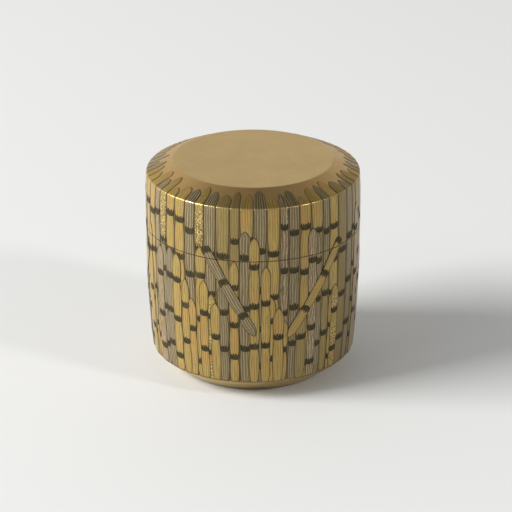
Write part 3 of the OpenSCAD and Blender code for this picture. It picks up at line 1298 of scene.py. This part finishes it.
@dataclass
class StemCutter:
    """Carves the lengths and the sheaths of stems, with sizes in millimetres."""

    outline: Outline
    reliefs: dict[StemFinish, Relief] = field(init=False)
    sheaths: Relief = field(init=False)

    # The barrel shape of a length, its tip and its ridges.
    outline_wide: float = 0.12
    rounding: float = 0.42
    narrowest: float = 0.03
    barrel_power: float = 0.45
    fullest: float = 0.5
    tip_most: float = 0.6
    tip_bend: float = 2.0
    tip_power: float = 0.65
    line_pitch: float = 0.80
    line_deep: float = 0.02
    fewest_lines: int = 3

    # The mesh of a length.
    edge_rows: tuple[float, ...] = (0.2, 0.34, 0.6)
    tip_rows: int = 10
    tipped_rows: int = 7
    plain_rows: int = 8
    bend_clear: float = 0.1
    row_clear: float = 0.06
    edge_columns: tuple[float, ...] = (0.18, 0.26, 0.38, 0.54)
    line_columns: int = 4
    plain_columns: int = 5

    # A sheath, its curved hem and its teeth.
    sheath_long: float = 1.50
    sheath_share: float = 0.88
    sheath_thick: float = 0.018
    sheath_proud: float = 0.002
    sheath_rounding: float = 0.3
    sheath_flare: float = 0.06
    sheath_rows: tuple[float, ...] = (0.0, 0.07, 0.2, 0.45, 0.7, 0.9, 1.0)
    overlap: float = 0.45
    hem_rise: float = 0.36
    hem_power: float = 2.2
    tooth_long: float = 0.95
    tooth_wide: float = 0.80
    tooth_power: float = 0.65
    tooth_scatter: float = 0.2
    tooth_turn: float = 2.4
    tooth_columns: int = 6
    fewest_teeth: int = 3
    seed_turn: float = 40.0

    def __post_init__(self) -> None:
        """Starts an empty relief for each finish."""
        self.reliefs = {finish: Relief(self.outline) for finish in StemFinish}
        self.sheaths = Relief(self.outline)

    def carve(self, stem: Stem) -> None:
        """Adds one stem: its lengths between the joints, then its sheaths.

        Args:
            stem: The stem.
        """
        middles = [joint + self.sheath_long * self.overlap for joint in stem.joints]
        starts, ends = [0.0] + middles, middles + [stem.long]
        for i, (start, end) in enumerate(zip(starts, ends)):
            if end - start > self.sheath_long:
                self._length(stem, start, end, tipped=i == len(stem.joints))
        for joint in stem.joints:
            self._sheath(stem, joint)

    def _length(self, stem: Stem, start: float, end: float, tipped: bool) -> None:
        """Adds one barrel-shaped length of a stem.

        Args:
            stem: The stem.
            start: Where the length begins, up the stem.
            end: Where it ends.
            tipped: Whether it ends in the stem's tip.
        """
        tip = min(stem.point, self.tip_most * (end - start)) if tipped else 0.0
        rows = self._rows(stem, start, end, tip)
        wide = self._half_width(stem, rows, start, end, tip)
        slope = np.gradient(wide, rows)[:, None]
        wide = wide[:, None]
        up, column = np.broadcast_arrays(rows[:, None], self._columns(stem)[None, :])
        right = wide * column
        inward = (wide - np.abs(right)) / np.sqrt(1 + slope**2)
        inward = np.minimum(inward, up - start)
        if not tipped:
            inward = np.minimum(inward, end - up)
        low, high = stem.layer.value
        full = np.clip((inward - self.outline_wide) / self.rounding, 0, 1)
        proud = low + (high - low) * self._round(full)
        phase = (column + 1) / 2 * self._line_count(stem)
        if stem.lined:
            proud = proud - self.line_deep * (0.5 + 0.5 * np.cos(2 * np.pi * phase)) * full
        share = (up - start) / (end - start)
        grain = np.stack([column * stem.width / 2, up, np.full(up.shape, stem.seed)], axis=-1)
        across, along = stem.on_wall(right, up)
        relief = self.reliefs[stem.finish]
        relief.add(across, along, proud, grain, rim=inward, line=phase, end=share)

    def _half_width(
        self,
        stem: Stem,
        rows: np.ndarray,
        start: float,
        end: float,
        tip: float,
    ) -> np.ndarray:
        """Finds how wide a length is: bulged like a barrel, and drawn in at the stem's tip.

        Args:
            stem: The stem.
            rows: The rows' places up the stem.
            start: Where the length begins, up the stem.
            end: Where it ends.
            tip: How long its tip is, or 0 where it has none.

        Returns:
            Half the width at each row.
        """
        share = (rows - start) / (end - start)
        barrel = np.sin(np.pi * np.clip(share, 0, 1)) ** self.barrel_power
        reach = np.zeros_like(rows)
        if tip:
            barrel = np.where(share > self.fullest, 1.0, barrel)
            reach = np.clip((rows - (end - tip)) / tip, 0, 1)
        swell = stem.waist + (1 - stem.waist) * barrel
        taper = (1 - reach**self.tip_bend) ** self.tip_power
        return np.maximum(stem.width / 2 * swell * taper, self.narrowest)

    @staticmethod
    def _round(inward: np.ndarray) -> np.ndarray:
        """Height of a quarter round of radius 1, at distances from 0 to 1 in from its edge."""
        return np.sqrt(1 - (1 - inward) ** 2)

    def _rows(self, stem: Stem, start: float, end: float, tip: float) -> np.ndarray:
        """Places the rows up a length, close together at its ends and at the wall's bends.

        Args:
            stem: The stem.
            start: Where the length begins, up the stem.
            end: Where it ends.
            tip: How long its tip is, or 0 where it has none.

        Returns:
            The rows' places up the stem, in order.
        """
        near = np.array([0.0, self.outline_wide, *self.edge_rows])
        if tip:
            middle = np.linspace(start + near[-1], end - tip, self.tipped_rows)[1:-1]
            top = end - tip + tip * np.sin(np.linspace(0, math.pi / 2, self.tip_rows))
        else:
            middle = np.linspace(start + near[-1], end - near[-1], self.plain_rows)[1:-1]
            top = (end - near)[::-1]
        rows = np.concatenate([start + near, middle, top])
        if stem.lean:
            return rows
        bends = self.outline.along - stem.root
        bends = bends[(bends > start + near[-1]) & (bends < end - self.bend_clear)]
        gaps = np.min(np.abs(rows[:, None] - bends[None, :]), axis=1, initial=1.0)
        return np.unique(np.concatenate([rows[gaps > self.row_clear], bends]))

    def _line_count(self, stem: Stem) -> int:
        """Number of ridges across a stem."""
        return max(self.fewest_lines, round(stem.width / self.line_pitch))

    def _columns(self, stem: Stem) -> np.ndarray:
        """Places the columns across a length, close together at its edges.

        Args:
            stem: The stem.

        Returns:
            The columns' places, as shares of the stem's half width.
        """
        edge = np.array([0.0, self.outline_wide, *self.edge_columns]) / (stem.width / 2)
        count = self.plain_columns
        if stem.lined:
            count = self.line_columns * (self._line_count(stem) - 1) + 1
        inner = np.linspace(-1 + edge[-1], 1 - edge[-1], count)
        return np.concatenate([-1 + edge[:-1], inner, (1 - edge[:-1])[::-1]])

    def _sheath(self, stem: Stem, joint: float) -> None:
        """Adds one toothed sheath.

        Args:
            stem: The stem that it clasps.
            joint: Its lowest place, up the stem.
        """
        half = stem.width / 2 * self.sheath_share
        teeth = max(self.fewest_teeth, round(stem.width / self.tooth_wide))
        columns = np.linspace(-1, 1, teeth * self.tooth_columns + 1)
        phase = (columns + 1) / 2 * teeth
        tooth = np.abs(np.sin(np.pi * phase)) ** self.tooth_power
        turn = phase.astype(int) * self.tooth_turn + (stem.seed + joint) * self.seed_turn
        tall = 1 - self.tooth_scatter + self.tooth_scatter * np.sin(turn)
        top = self.sheath_long + self.tooth_long * tooth * tall
        bottom = self.hem_rise * self.sheath_long * np.abs(columns) ** self.hem_power
        rows = np.array(self.sheath_rows)
        row, column = np.broadcast_arrays(rows[:, None], columns[None, :])
        up = joint + bottom + (top - bottom) * row
        right = half * column * (1 + self.sheath_flare * row)
        inward = np.minimum.reduce([half - np.abs(half * column), up - up[:1], up[-1:] - up])
        full = np.clip(inward / self.sheath_rounding, 0, 1)
        proud = stem.layer.value[1] + self.sheath_proud + self.sheath_thick * self._round(full)
        grain = np.stack([right, up, np.full(up.shape, stem.seed + joint)], axis=-1)
        across, along = stem.on_wall(right, up)
        self.sheaths.add(across, along, proud, grain, rim=inward)


class Scatter(Enum):
    """What a stem's scattered value is for. All but the last are the frame's own keys."""

    EDGE = 1
    PITCH = 2
    FIRST_JOINT = 3
    TIP = 4
    FINISH = 5
    STRIAE = 6


@dataclass(frozen=True)
class BentStem:
    """A stem that hangs bent across its neighbours: where its upper end is and how it lies."""

    turn: float
    height: float
    lean: float
    long: float
    finish: StemFinish


BENT_STEMS = (
    BentStem(turn=244, height=50, lean=151, long=32, finish=StemFinish.SILVER),
    BentStem(turn=322, height=49, lean=-146, long=34, finish=StemFinish.GOLD),
    BentStem(turn=12, height=43, lean=156, long=27, finish=StemFinish.OLIVE),
    BentStem(turn=63, height=51, lean=-149, long=31, finish=StemFinish.SILVER),
    BentStem(turn=92, height=47, lean=153, long=30, finish=StemFinish.GOLD),
    BentStem(turn=148, height=50, lean=150, long=33, finish=StemFinish.STRIATED),
    BentStem(turn=196, height=42, lean=-154, long=25, finish=StemFinish.GOLD),
)


@dataclass
class Thicket:
    """Where the stems stand: upright ones behind, more in front, and a few that hang bent.

    Sizes are in millimetres.
    """

    outline: Outline
    seam: float
    foot: float

    # The upright stems, by the rules of the frame's solids.
    count: int = 56
    crown_high: float = 3.6
    joint_min: float = 10.5
    joint_max: float = 15.0
    first_joint: float = 0.15
    width_scatter: float = 0.36
    tip_min: float = 0.40
    tip_max: float = 0.85
    sheath_room: float = 1.9
    seam_line: float = 0.16
    joint_clear: float = 3.0
    finish_ends: tuple[float, ...] = (0.42, 0.62, 0.88, 1.0)
    stem_turn: float = 129.71
    key_turn: float = 78.33
    scatter_gain: float = 437.58

    # What the look adds to the upright stems.
    seed: int = 11
    stem_gap: float = 0.04
    striated_share: float = 0.4
    back_waist: Span = (0.58, 0.80)
    back_point: Span = (2.2, 3.4)

    # The two rows of short stems in front of them. Shifts and widths are in stem distances.
    middle_share: float = 0.76
    front_share: float = 0.52
    front_shift: float = 0.5
    tip_over_foot: float = 9.0
    tip_over_seam: float = 11.0
    tip_length: Span = (8.5, 13.0)
    lowest_joint: float = 2.5
    short_weights: tuple[float, ...] = (0.50, 0.17, 0.15, 0.11, 0.07)
    short_shift: Span = (-0.16, 0.16)
    short_width: Span = (0.82, 1.06)
    short_waist: Span = (0.55, 0.74)
    short_point: Span = (3.2, 5.2)

    # The stems that hang bent.
    bent_first: Span = (10.0, 13.0)
    bent_next: float = 12.0
    bent_room: float = 14.0
    bent_width: Span = (3.0, 3.5)
    bent_waist: Span = (0.70, 0.8)
    bent_point: float = 3.6

    def stems(self) -> list[Stem]:
        """Lays out all stems.

        Returns:
            The stems, the hindmost first.
        """
        draw = random.Random(self.seed)
        made = [self._back_stem(i, draw) for i in range(self.count)]
        made += self._row(Layer.MIDDLE, self.middle_share, 0.0, draw)
        made += self._row(Layer.FRONT, self.front_share, self.front_shift, draw)
        made += [self._bent_stem(bent, draw) for bent in BENT_STEMS]
        return made

    @property
    def root(self) -> float:
        """Distance up the outline where the upright stems begin."""
        return self.outline.at_height(self.foot)

    @property
    def around(self) -> float:
        """Distance once round the wall."""
        return 2 * math.pi * self.outline.wall_radius

    def scatter(self, i: int, key: Scatter) -> float:
        """Scattered value from 0 to 1 of stem i for one key, as the frame's stems have it."""
        value = math.sin(math.radians((i + 1) * self.stem_turn + key.value * self.key_turn))
        return (value * self.scatter_gain) % 1.0

    def _edge_across(self, i: int) -> float:
        """Distance round the wall to the edge between stem i - 1 and stem i."""
        turn = i + self.width_scatter * (self.scatter(i % self.count, Scatter.EDGE) - 0.5)
        return turn * self.around / self.count

    def _back_stem(self, i: int, draw: random.Random) -> Stem:
        """Lays an upright stem in the place that the frame's solids give it.

        Args:
            i: The stem's number.
            draw: The source of scatter.

        Returns:
            The stem.
        """
        left, right = self._edge_across(i), self._edge_across(i + 1)
        shoulder = float(self.outline.points[-1, 1]) - self.crown_high
        longer = self.scatter(i, Scatter.PITCH)
        pitch = self.joint_min + (self.joint_max - self.joint_min) * longer
        first = self.first_joint + (1 - self.first_joint) * self.scatter(i, Scatter.FIRST_JOINT)
        height = self.foot + pitch * first
        joints = []
        while height <= shoulder - self.joint_clear - self.sheath_room:
            joints.append(self.outline.at_height(self._off_seam(height)) - self.root)
            height += pitch
        reach = self.tip_min + (self.tip_max - self.tip_min) * self.scatter(i, Scatter.TIP)
        tip = self.outline.at_height(shoulder + self.crown_high * reach)
        return Stem(
            across=(left + right) / 2,
            root=self.root,
            long=tip - self.root,
            width=right - left - self.stem_gap,
            finish=self._back_finish(i),
            layer=Layer.BACK,
            joints=tuple(joints),
            seed=draw.random(),
            waist=draw.uniform(*self.back_waist),
            point=draw.uniform(*self.back_point),
        )

    def _off_seam(self, height: float) -> float:
        """A joint's height, moved up onto the lid where it would straddle the seam."""
        low, high = self.seam - self.sheath_room - self.seam_line, self.seam + self.seam_line
        return high if low < height < high else height

    def _back_finish(self, i: int) -> StemFinish:
        """Finds the finish of an upright stem.

        Args:
            i: The stem's number.

        Returns:
            The finish, which is striated for some of the frame's silver stems.
        """
        value = self.scatter(i, Scatter.FINISH)
        kinds = (StemFinish.GOLD, StemFinish.OLIVE, StemFinish.SILVER, StemFinish.SPECKLED)
        kind = next(kind for kind, end in zip(kinds, self.finish_ends) if value < end)
        if kind is StemFinish.SILVER and self.scatter(i, Scatter.STRIAE) < self.striated_share:
            return StemFinish.STRIATED
        return kind

    def _row(self, layer: Layer, share: float, shift: float, draw: random.Random) -> list[Stem]:
        """Lays a row of short stems in front of some of the upright ones.

        Args:
            layer: How far forward the row is laid.
            share: Share of the places that hold a stem.
            shift: How far the places lie beside the upright stems, in stem distances.
            draw: The source of scatter.

        Returns:
            The row's stems.
        """
        places = [i + shift + 0.5 for i in range(self.count) if draw.random() < share]
        return [self._short_stem(place, layer, draw) for place in places]

    def _short_stem(self, turn: float, layer: Layer, draw: random.Random) -> Stem:
        """Lays an upright stem of a row in front, whose tip lies somewhere up the wall.

        Args:
            turn: Its place round the wall, in stem distances.
            layer: How far forward it is laid.
            draw: The source of scatter.

        Returns:
            The stem.
        """
        pitch = self.around / self.count
        tip = draw.uniform(self.foot + self.tip_over_foot, self.seam + self.tip_over_seam)
        long = self.outline.at_height(tip) - self.root
        joints = []
        place = long - draw.uniform(*self.tip_length)
        while place > self.lowest_joint:
            height = self._off_seam(self.outline.height_at(self.root + place))
            joints.append(self.outline.at_height(height) - self.root)
            place -= draw.uniform(self.joint_min, self.joint_max)
        return Stem(
            across=(turn + draw.uniform(*self.short_shift)) * pitch,
            root=self.root,
            long=long,
            width=draw.uniform(*self.short_width) * pitch,
            finish=draw.choices(list(StemFinish), weights=self.short_weights)[0],
            layer=layer,
            joints=tuple(sorted(joints)),
            seed=draw.random(),
            waist=draw.uniform(*self.short_waist),
            point=draw.uniform(*self.short_point),
        )

    def _bent_stem(self, bent: BentStem, draw: random.Random) -> Stem:
        """Lays a stem that hangs bent from a joint at its upper end.

        Args:
            bent: Where it hangs.
            draw: The source of scatter.

        Returns:
            The stem.
        """
        first = draw.uniform(*self.bent_first)
        joints = (0.0, first, first + self.bent_next)
        return Stem(
            across=math.radians(bent.turn) * self.outline.wall_radius,
            root=self.outline.at_height(bent.height),
            long=bent.long,
            width=draw.uniform(*self.bent_width),
            finish=bent.finish,
            layer=Layer.LEANING,
            joints=joints[:2] if bent.long < first + self.bent_room else joints,
            seed=draw.random(),
            waist=draw.uniform(*self.bent_waist),
            point=self.bent_point,
            lean=bent.lean,
        )


# --------------------------------------------------------------------------- sub-assemblies


@dataclass
class CaddyPart:
    """What the lid and the body share: turned coats over a wooden core."""

    part: Part
    ground_node: str
    core_node: str
    cloth_nodes: tuple[str, ...]
    edge_round: float = 0.02

    def coat(self, node: str, name: str, slot: str, material: Material) -> Piece:
        """Turns a finer copy of a coat of the frame and puts it in the coat's place.

        Args:
            node: The frame's node.
            name: The new piece's name.
            slot: The record's material slot; not used.
            material: The coat's material.

        Returns:
            The new piece.
        """
        section = Section.of_node(node).softened(self.edge_round).supported()
        piece = section.turned(name)
        piece.data.materials.append(material)
        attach(piece, self.part.value)
        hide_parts(node)
        return piece

    def dress_inside(self, wood: Material, cloth: Material) -> list[Piece]:
        """Gives the core and the hemp bands their materials.

        Args:
            wood: The core's material.
            cloth: The bands' material.

        Returns:
            The dressed nodes.
        """
        dress = {self.core_node: wood, **{name: cloth for name in self.cloth_nodes}}
        for node, material in dress.items():
            data = bpy.data.objects[node].data
            data.materials.clear()
            data.materials.append(material)
        return [bpy.data.objects[node] for node in dress]


@dataclass
class Lid(CaddyPart):
    """The lid: ground, lining, core and hemp band."""

    part: Part = Part.LID
    ground_node: str = "lid_gold_coat"
    core_node: str = "lid_core"
    cloth_nodes: tuple[str, ...] = ("lid_cloth_band",)

    def build(self, ground: Material, inner: Material) -> list[Piece]:
        """Builds the lid's coats.

        Args:
            ground: The gold ground's material.
            inner: The lining's material.

        Returns:
            The coats.
        """
        return [
            self.coat(self.ground_node, "lid_ground", "gold_ground", ground),
            self.coat("lid_lining", "lid_inside", "inner_lacquer", inner),
        ]


@dataclass
class Body(CaddyPart):
    """The body: ground, well, rise, foot, core and hemp bands."""

    part: Part = Part.BODY
    ground_node: str = "body_gold_coat"
    core_node: str = "body_core"
    cloth_nodes: tuple[str, ...] = ("mouth_cloth_band", "foot_cloth_band")

    def build(self, ground: Material, inner: Material, under: Material) -> list[Piece]:
        """Builds the body's coats.

        Args:
            ground: The gold ground's material.
            inner: The well's material.
            under: The material under the foot.

        Returns:
            The coats.
        """
        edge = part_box("rise_coat")[1][2] / MM
        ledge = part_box(self.ground_node)[1][2] / MM
        rise = RiseGold().material(edge, ledge)
        return [
            self.coat(self.ground_node, "body_ground", "gold_ground", ground),
            self.coat("well_lining", "tea_well", "inner_lacquer", inner),
            self.coat("rise_coat", "rise", "rise_lacquer", rise),
            self.coat("foot_coat", "foot_underside", "foot_lacquer", under),
        ]


@dataclass
class RaisedStems:
    """The raised pattern round the wall, one piece for each finish and part."""

    thicket: Thicket

    def build(self, levels: Levels) -> list[Piece]:
        """Carves all stems and puts them in place of the frame's plain ones.

        Args:
            levels: Heights that the lacquers change at.

        Returns:
            The pieces of the stems and the sheaths.
        """
        cutter = StemCutter(self.thicket.outline)
        for stem in self.thicket.stems():
            cutter.carve(stem)
        made = []
        for finish, relief in cutter.reliefs.items():
            lacquer = STEM_LACQUERS[finish].material(levels)
            slot = "silver_stems" if finish is StemFinish.STRIATED else f"{finish.value}_stems"
            made += self._place(relief, f"stems_{finish.value}", slot, lacquer)
        lacquer = SheathLacquer().material()
        return made + self._place(cutter.sheaths, "joint_sheaths", "dark_sheaths", lacquer)

    def _place(self, relief: Relief, name: str, slot: str, material: Material) -> list[Piece]:
        """Puts the two pieces of one relief on the lid and the body.

        Args:
            relief: The shapes.
            name: The name that the pieces' names end with.
            slot: The record's material slot.
            material: The pieces' material.

        Returns:
            The two pieces.
        """
        pieces = relief.pieces(name, self.thicket.seam, self.thicket.seam_line)
        for part, piece in pieces.items():
            piece.data.materials.append(material)
            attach(piece, part.value)
            node = f"{part.value}_sheaths" if name == "joint_sheaths" else f"{part.value}_{slot}"
            if name != "stems_striated":
                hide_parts(node)
        return list(pieces.values())


# --------------------------------------------------------------------------- studio


def toward(azimuth: float, elevation: float) -> Vector:
    """Direction by its angles in degrees: azimuth 0 is towards the camera, 90 to the right."""
    a, e = math.radians(azimuth), math.radians(elevation)
    return Vector((math.sin(a) * math.cos(e), -math.cos(a) * math.cos(e), math.sin(e)))


@dataclass(frozen=True)
class Lamp:
    """Soft rectangular lamp that hangs round the caddy.

    Azimuth 0 is towards the camera and positive to the right; sides are in metres.
    """

    name: str
    azimuth: float
    elevation: float
    wide: float
    high: float
    watts: float

    DISTANCE = 3.0

    def hang(self, centre: Vector) -> None:
        """Hangs the lamp facing the caddy.

        Args:
            centre: The point that the lamp faces.
        """
        data = bpy.data.lights.new(self.name, "AREA")
        data.shape = "RECTANGLE"
        data.size = self.wide
        data.size_y = self.high
        data.energy = self.watts
        lamp = bpy.data.objects.new(self.name, data)
        lamp.location = centre + toward(self.azimuth, self.elevation) * self.DISTANCE
        lamp.rotation_euler = (centre - lamp.location).to_track_quat("-Z", "Y").to_euler()
        bpy.context.scene.collection.objects.link(lamp)


LAMPS = (
    Lamp("key", azimuth=-78.0, elevation=33.0, wide=1.5, high=1.2, watts=121.0),
    Lamp("wash", azimuth=-48.0, elevation=36.0, wide=0.6, high=0.6, watts=5.0),
    Lamp("fill", azimuth=61.0, elevation=32.0, wide=0.35, high=0.5, watts=20.0),
)


@dataclass
class Studio:
    """Pale floor, soft light and camera, with sizes in metres and angles in degrees."""

    centre: Vector
    elevation: float = 23.84
    distance: float = 0.66
    field_of_view: float = 13.68
    shift_right: float = 0.90 * MM
    shift_up: float = 0.55 * MM
    floor_colour: Colour = (0.692, 0.694, 0.682)
    floor_tooth: Colour = (0.67, 0.67, 0.66)
    tooth_amount: float = 0.04
    floor_roughness: float = 0.85
    floor_half: float = 6.0
    floor_cells: int = 8
    sky_bright: float = 0.93
    sky_dim: float = 0.31
    sky_zenith: float = 0.07
    sky_bright_azimuth: float = -150.0
    bright_edge: Span = (-0.45, 0.98)
    zenith_edge: Span = (0.60, 0.95)

    def build(self) -> None:
        """Builds the floor, the light and the camera."""
        self._floor()
        self._sky()
        for lamp in LAMPS:
            lamp.hang(self.centre)
        self._camera()

    def _floor(self) -> None:
        """Lays the floor."""
        bm = bmesh.new()
        cells = self.floor_cells
        bmesh.ops.create_grid(bm, x_segments=cells, y_segments=cells, size=self.floor_half)
        floor = made_object("floor", bm)
        bench = Bench.material("floor_paper")
        tooth = bench.noise(bench.object_mm(), scale=0.8) * self.tooth_amount
        shade = bench.mix(tooth, self.floor_colour, self.floor_tooth)
        floor.data.materials.append(bench.finish(Base_Color=shade, Roughness=self.floor_roughness))

    def _sky(self) -> None:
        """Lights the surroundings: a bright wall behind, a dim room in front, a dark ceiling."""
        world = bpy.data.worlds.new("studio")
        bpy.context.scene.world = world
        bench = Bench(world)
        sight = bench.add("ShaderNodeTexCoord", output="Generated")
        side = tuple(toward(self.sky_bright_azimuth, 0.0))
        settings = {"operation": "DOT_PRODUCT"}
        facing = bench.add("ShaderNodeVectorMath", settings, {0: sight, 1: side}, "Value")
        height = bench.add("ShaderNodeSeparateXYZ", inputs={0: sight}, output="Z")
        wall = self.sky_dim + facing.above(*self.bright_edge) * (self.sky_bright - self.sky_dim)
        level = wall + height.above(*self.zenith_edge) * (self.sky_zenith - wall)
        shade = bench.mix(level, BLACK, WHITE)
        glow = bench.add("ShaderNodeBackground", inputs={"Color": shade})
        bench.end("ShaderNodeOutputWorld", glow)

    def _camera(self) -> None:
        """Sets the camera."""
        data = bpy.data.cameras.new("camera")
        data.angle = math.radians(self.field_of_view)
        camera = bpy.data.objects.new("camera", data)
        sight = -toward(0.0, self.elevation)
        turn = sight.to_track_quat("-Z", "Y")
        slide = turn @ Vector((self.shift_right, self.shift_up, 0.0))
        camera.location = self.centre - sight * self.distance + slide
        camera.rotation_euler = turn.to_euler()
        bpy.context.scene.collection.objects.link(camera)
        bpy.context.scene.camera = camera
        bpy.context.scene.view_settings.view_transform = "Standard"


def main() -> None:
    """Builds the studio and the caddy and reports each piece."""
    logging.basicConfig(level=logging.INFO, format="%(name)s %(message)s")
    low, high = (Vector(corner) for corner in CAD_BOX)
    Studio(centre=(low + high) / 2).build()
    inner, under = INNER_LACQUER.material(), FOOT_LACQUER.material()
    wood, cloth = TurnedWood().material(), HempCloth().material()
    coats = [Section.of_node(node) for node in (Lid.ground_node, Body.ground_node)]
    outline = Outline(coats)
    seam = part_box(Lid.ground_node)[0][2] / MM
    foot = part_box("body_gold_stems")[0][2] / MM
    levels = Levels(foot=foot, seam=seam, shoulder=outline.shoulder, disc=high.z / MM)
    ground = GoldGround().material(levels)
    lid, body = Lid(), Body()
    pieces = lid.build(ground, inner) + body.build(ground, inner, under)
    pieces += RaisedStems(Thicket(outline, seam, foot)).build(levels)
    pieces += lid.dress_inside(wood, cloth) + body.dress_inside(wood, cloth)
    for piece in pieces:
        faces, material = len(piece.data.polygons), piece.data.materials[0].name
        log.info("%s: %d faces, %s", piece.name, faces, material)


if __name__ == "__main__":
    main()
